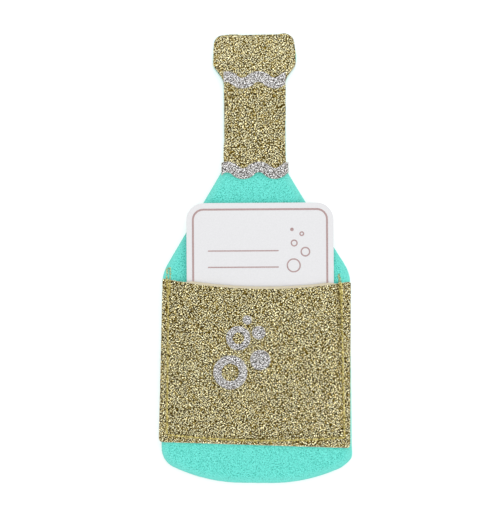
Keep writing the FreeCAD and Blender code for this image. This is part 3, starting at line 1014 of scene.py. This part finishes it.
def thread_route(hook, surface, arch, lock, sink):
    """Control points of one thread: a run along the cloth between two holes, then down, across and up."""
    depth = np.zeros(len(holes))
    depth[PLAIN_SEAM] = np.random.default_rng(seed=82).uniform(0, sink, len(holes[PLAIN_SEAM]))
    ahead = unit(np.gradient(holes, axis=0))
    aside = to_left(ahead) * hook * LOOP_OFFSET
    enter = holes - ahead * LOOP_REACH + aside
    leave = holes + ahead * LOOP_REACH - aside
    points = []
    for number in range(len(holes)):
        points.append((*enter[number], surface(enter[number:number + 1])[0]))
        points.append((*enter[number], lock))
        points.append((*leave[number], lock))
        points.append((*leave[number], surface(leave[number:number + 1])[0]))
        if number + 1 < len(holes):
            for share in STITCH_SHARES:
                spot = leave[number:number + 1] * (1 - share) + enter[number + 1:number + 2] * share
                points.append((*spot[0], surface(spot)[0] + arch - depth[number]))
    return points[1:-1]


felt_middle = felt_front / 2
needle_route = thread_route(1, thread_surface, NEEDLE_ARCH, felt_middle - THREAD_RADIUS, STITCH_SINK)
bobbin_route = thread_route(-1, level(BOBBIN_HEIGHT), BOBBIN_ARCH, felt_middle + THREAD_RADIUS, 0)
for name, node, route in (
    ("needle_stitches", "needle_thread", needle_route),
    ("bobbin_stitches", "bobbin_thread", bobbin_route),
):
    path = nurbs_path(route, ROUTE_STEPS)
    choose = np.random.default_rng(seed=81)
    path[:, :2] += choose.uniform(-THREAD_STRAY, THREAD_STRAY, (len(path), 2))
    radius = THREAD_RADIUS * (1 + choose.uniform(-THREAD_FUZZ, THREAD_FUZZ, len(path)))
    from_hole = np.linalg.norm(path[:, None, :2] - holes[PLAIN_SEAM][None], axis=2).min(axis=1)
    radius *= 1 - HOLE_PINCH * np.exp(-(from_hole / HOLE_PINCH_REACH) ** 2)
    spots, faces = swept(path, radius, THREAD_SIDES, THREAD_PLY, THREAD_TWIST)
    made = piece(name, "holder", spots, faces, [thread], True)
    mark(made, "sunk", 1.0 - within(spots[:, :2], pocket_loop))
    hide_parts(node)

# Card

card_loop = resampled(outlines("insert_card")[0], CARD_BORDER_SPACING)
card_back = raised(card_face, -CARD_THICKNESS)
spots, faces = layer([card_loop], card_face, card_back, CARD_EDGE, CARD_SPACING, seed=71)[:2]
card = piece("gift_card", "card", spots, faces, [card_stock], False)
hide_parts("insert_card")


def foil(name, loops):
    """A foil print on the card's front."""
    spots, faces = layer(
        loops, raised(card_face, FOIL), raised(card_face, -FOIL), FOIL_EDGE, FOIL_SPACING, seed=72
    )[:2]
    made = piece(name, "card", spots, faces, [rose_foil], False)


def circle(x, y, radius):
    angle = np.linspace(0, 2 * math.pi, RING_POINTS, endpoint=False)
    return np.column_stack([x + radius * np.cos(angle), y + radius * np.sin(angle)])


foil("card_border", [inset(card_loop, BORDER_INSET), inset(card_loop, BORDER_INSET + BORDER_WIDTH)[::-1]])
for number, (left, right, y) in enumerate(RULES, 1):
    corners = [(left, y), (right, y), (right, y + RULE_WIDTH), (left, y + RULE_WIDTH)]
    foil(f"card_rule_{number}", [resampled(np.array(corners), RULE_SPACING)])
for number, (x, y, diameter) in enumerate(RINGS, 1):
    loops = [circle(x, y, diameter / 2)]
    if diameter > DISC_BELOW:
        loops.append(circle(x, y, diameter / 2 - RING_WIDTH)[::-1])
    foil(f"card_ring_{number}", loops)

# Stage

floor_mesh = bpy.data.meshes.new("floor")
floor_corners = [(x * FLOOR_HALF, y * FLOOR_HALF, 0) for x, y in ((-1, -1), (1, -1), (1, 1), (-1, 1))]
floor_mesh.from_pydata(floor_corners, [], [(0, 1, 2, 3)])
floor = bpy.data.objects.new("floor", floor_mesh)
floor.location.z = -FLOOR_DROP * MM
bpy.context.scene.collection.objects.link(floor)
floor_nodes = Nodes("floor_paper")
floor_nodes.set(
    roughness=0.9, base_color=(FLOOR_GREY, FLOOR_GREY, FLOOR_GREY, 1), emission_color=(1, 1, 1, 1)
)
rays = floor_nodes.add("ShaderNodeLightPath").outputs
seen = floor_nodes.math("MAXIMUM", rays["Is Camera Ray"], rays["Is Glossy Ray"])
seen = floor_nodes.math("MAXIMUM", seen, rays["Is Transmission Ray"])
floor_nodes.feed("Emission Strength", floor_nodes.math("MULTIPLY", seen, FLOOR_GLOW))
floor_mesh.materials.append(floor_nodes.material)

world = bpy.data.worlds.new("studio")
world.use_nodes = True
world.node_tree.nodes["Background"].inputs["Color"].default_value = (1, 1, 1, 1)
world.node_tree.nodes["Background"].inputs["Strength"].default_value = SKY
bpy.context.scene.world = world


def lamp(name, place, size, power):
    """A square soft light that points at the middle of the object."""
    light = bpy.data.lights.new(name, "AREA")
    light.size = size
    light.energy = power
    made = bpy.data.objects.new(name, light)
    made.location = place
    made.rotation_euler = (-Vector(place)).to_track_quat("-Z", "Y").to_euler()
    bpy.context.scene.collection.objects.link(made)


lamp("key", *KEY_LAMP)
lamp("fill", *FILL_LAMP)

camera_data = bpy.data.cameras.new("camera")
camera_data.lens = LENS
camera_data.sensor_width = SENSOR
camera_data.clip_start = CLIP_START * MM
camera = bpy.data.objects.new("camera", camera_data)
distance = LENS * PIXEL * IMAGE_HEIGHT / SENSOR
camera.location = Vector(VIEW_MIDDLE) * MM + Vector((0, 0, distance * MM))
camera.rotation_euler = (0, 0, -VIEW_TURN)
bpy.context.scene.collection.objects.link(camera)
bpy.context.scene.camera = camera
bpy.context.scene.view_settings.view_transform = "Standard"

bpy.context.view_layer.update()
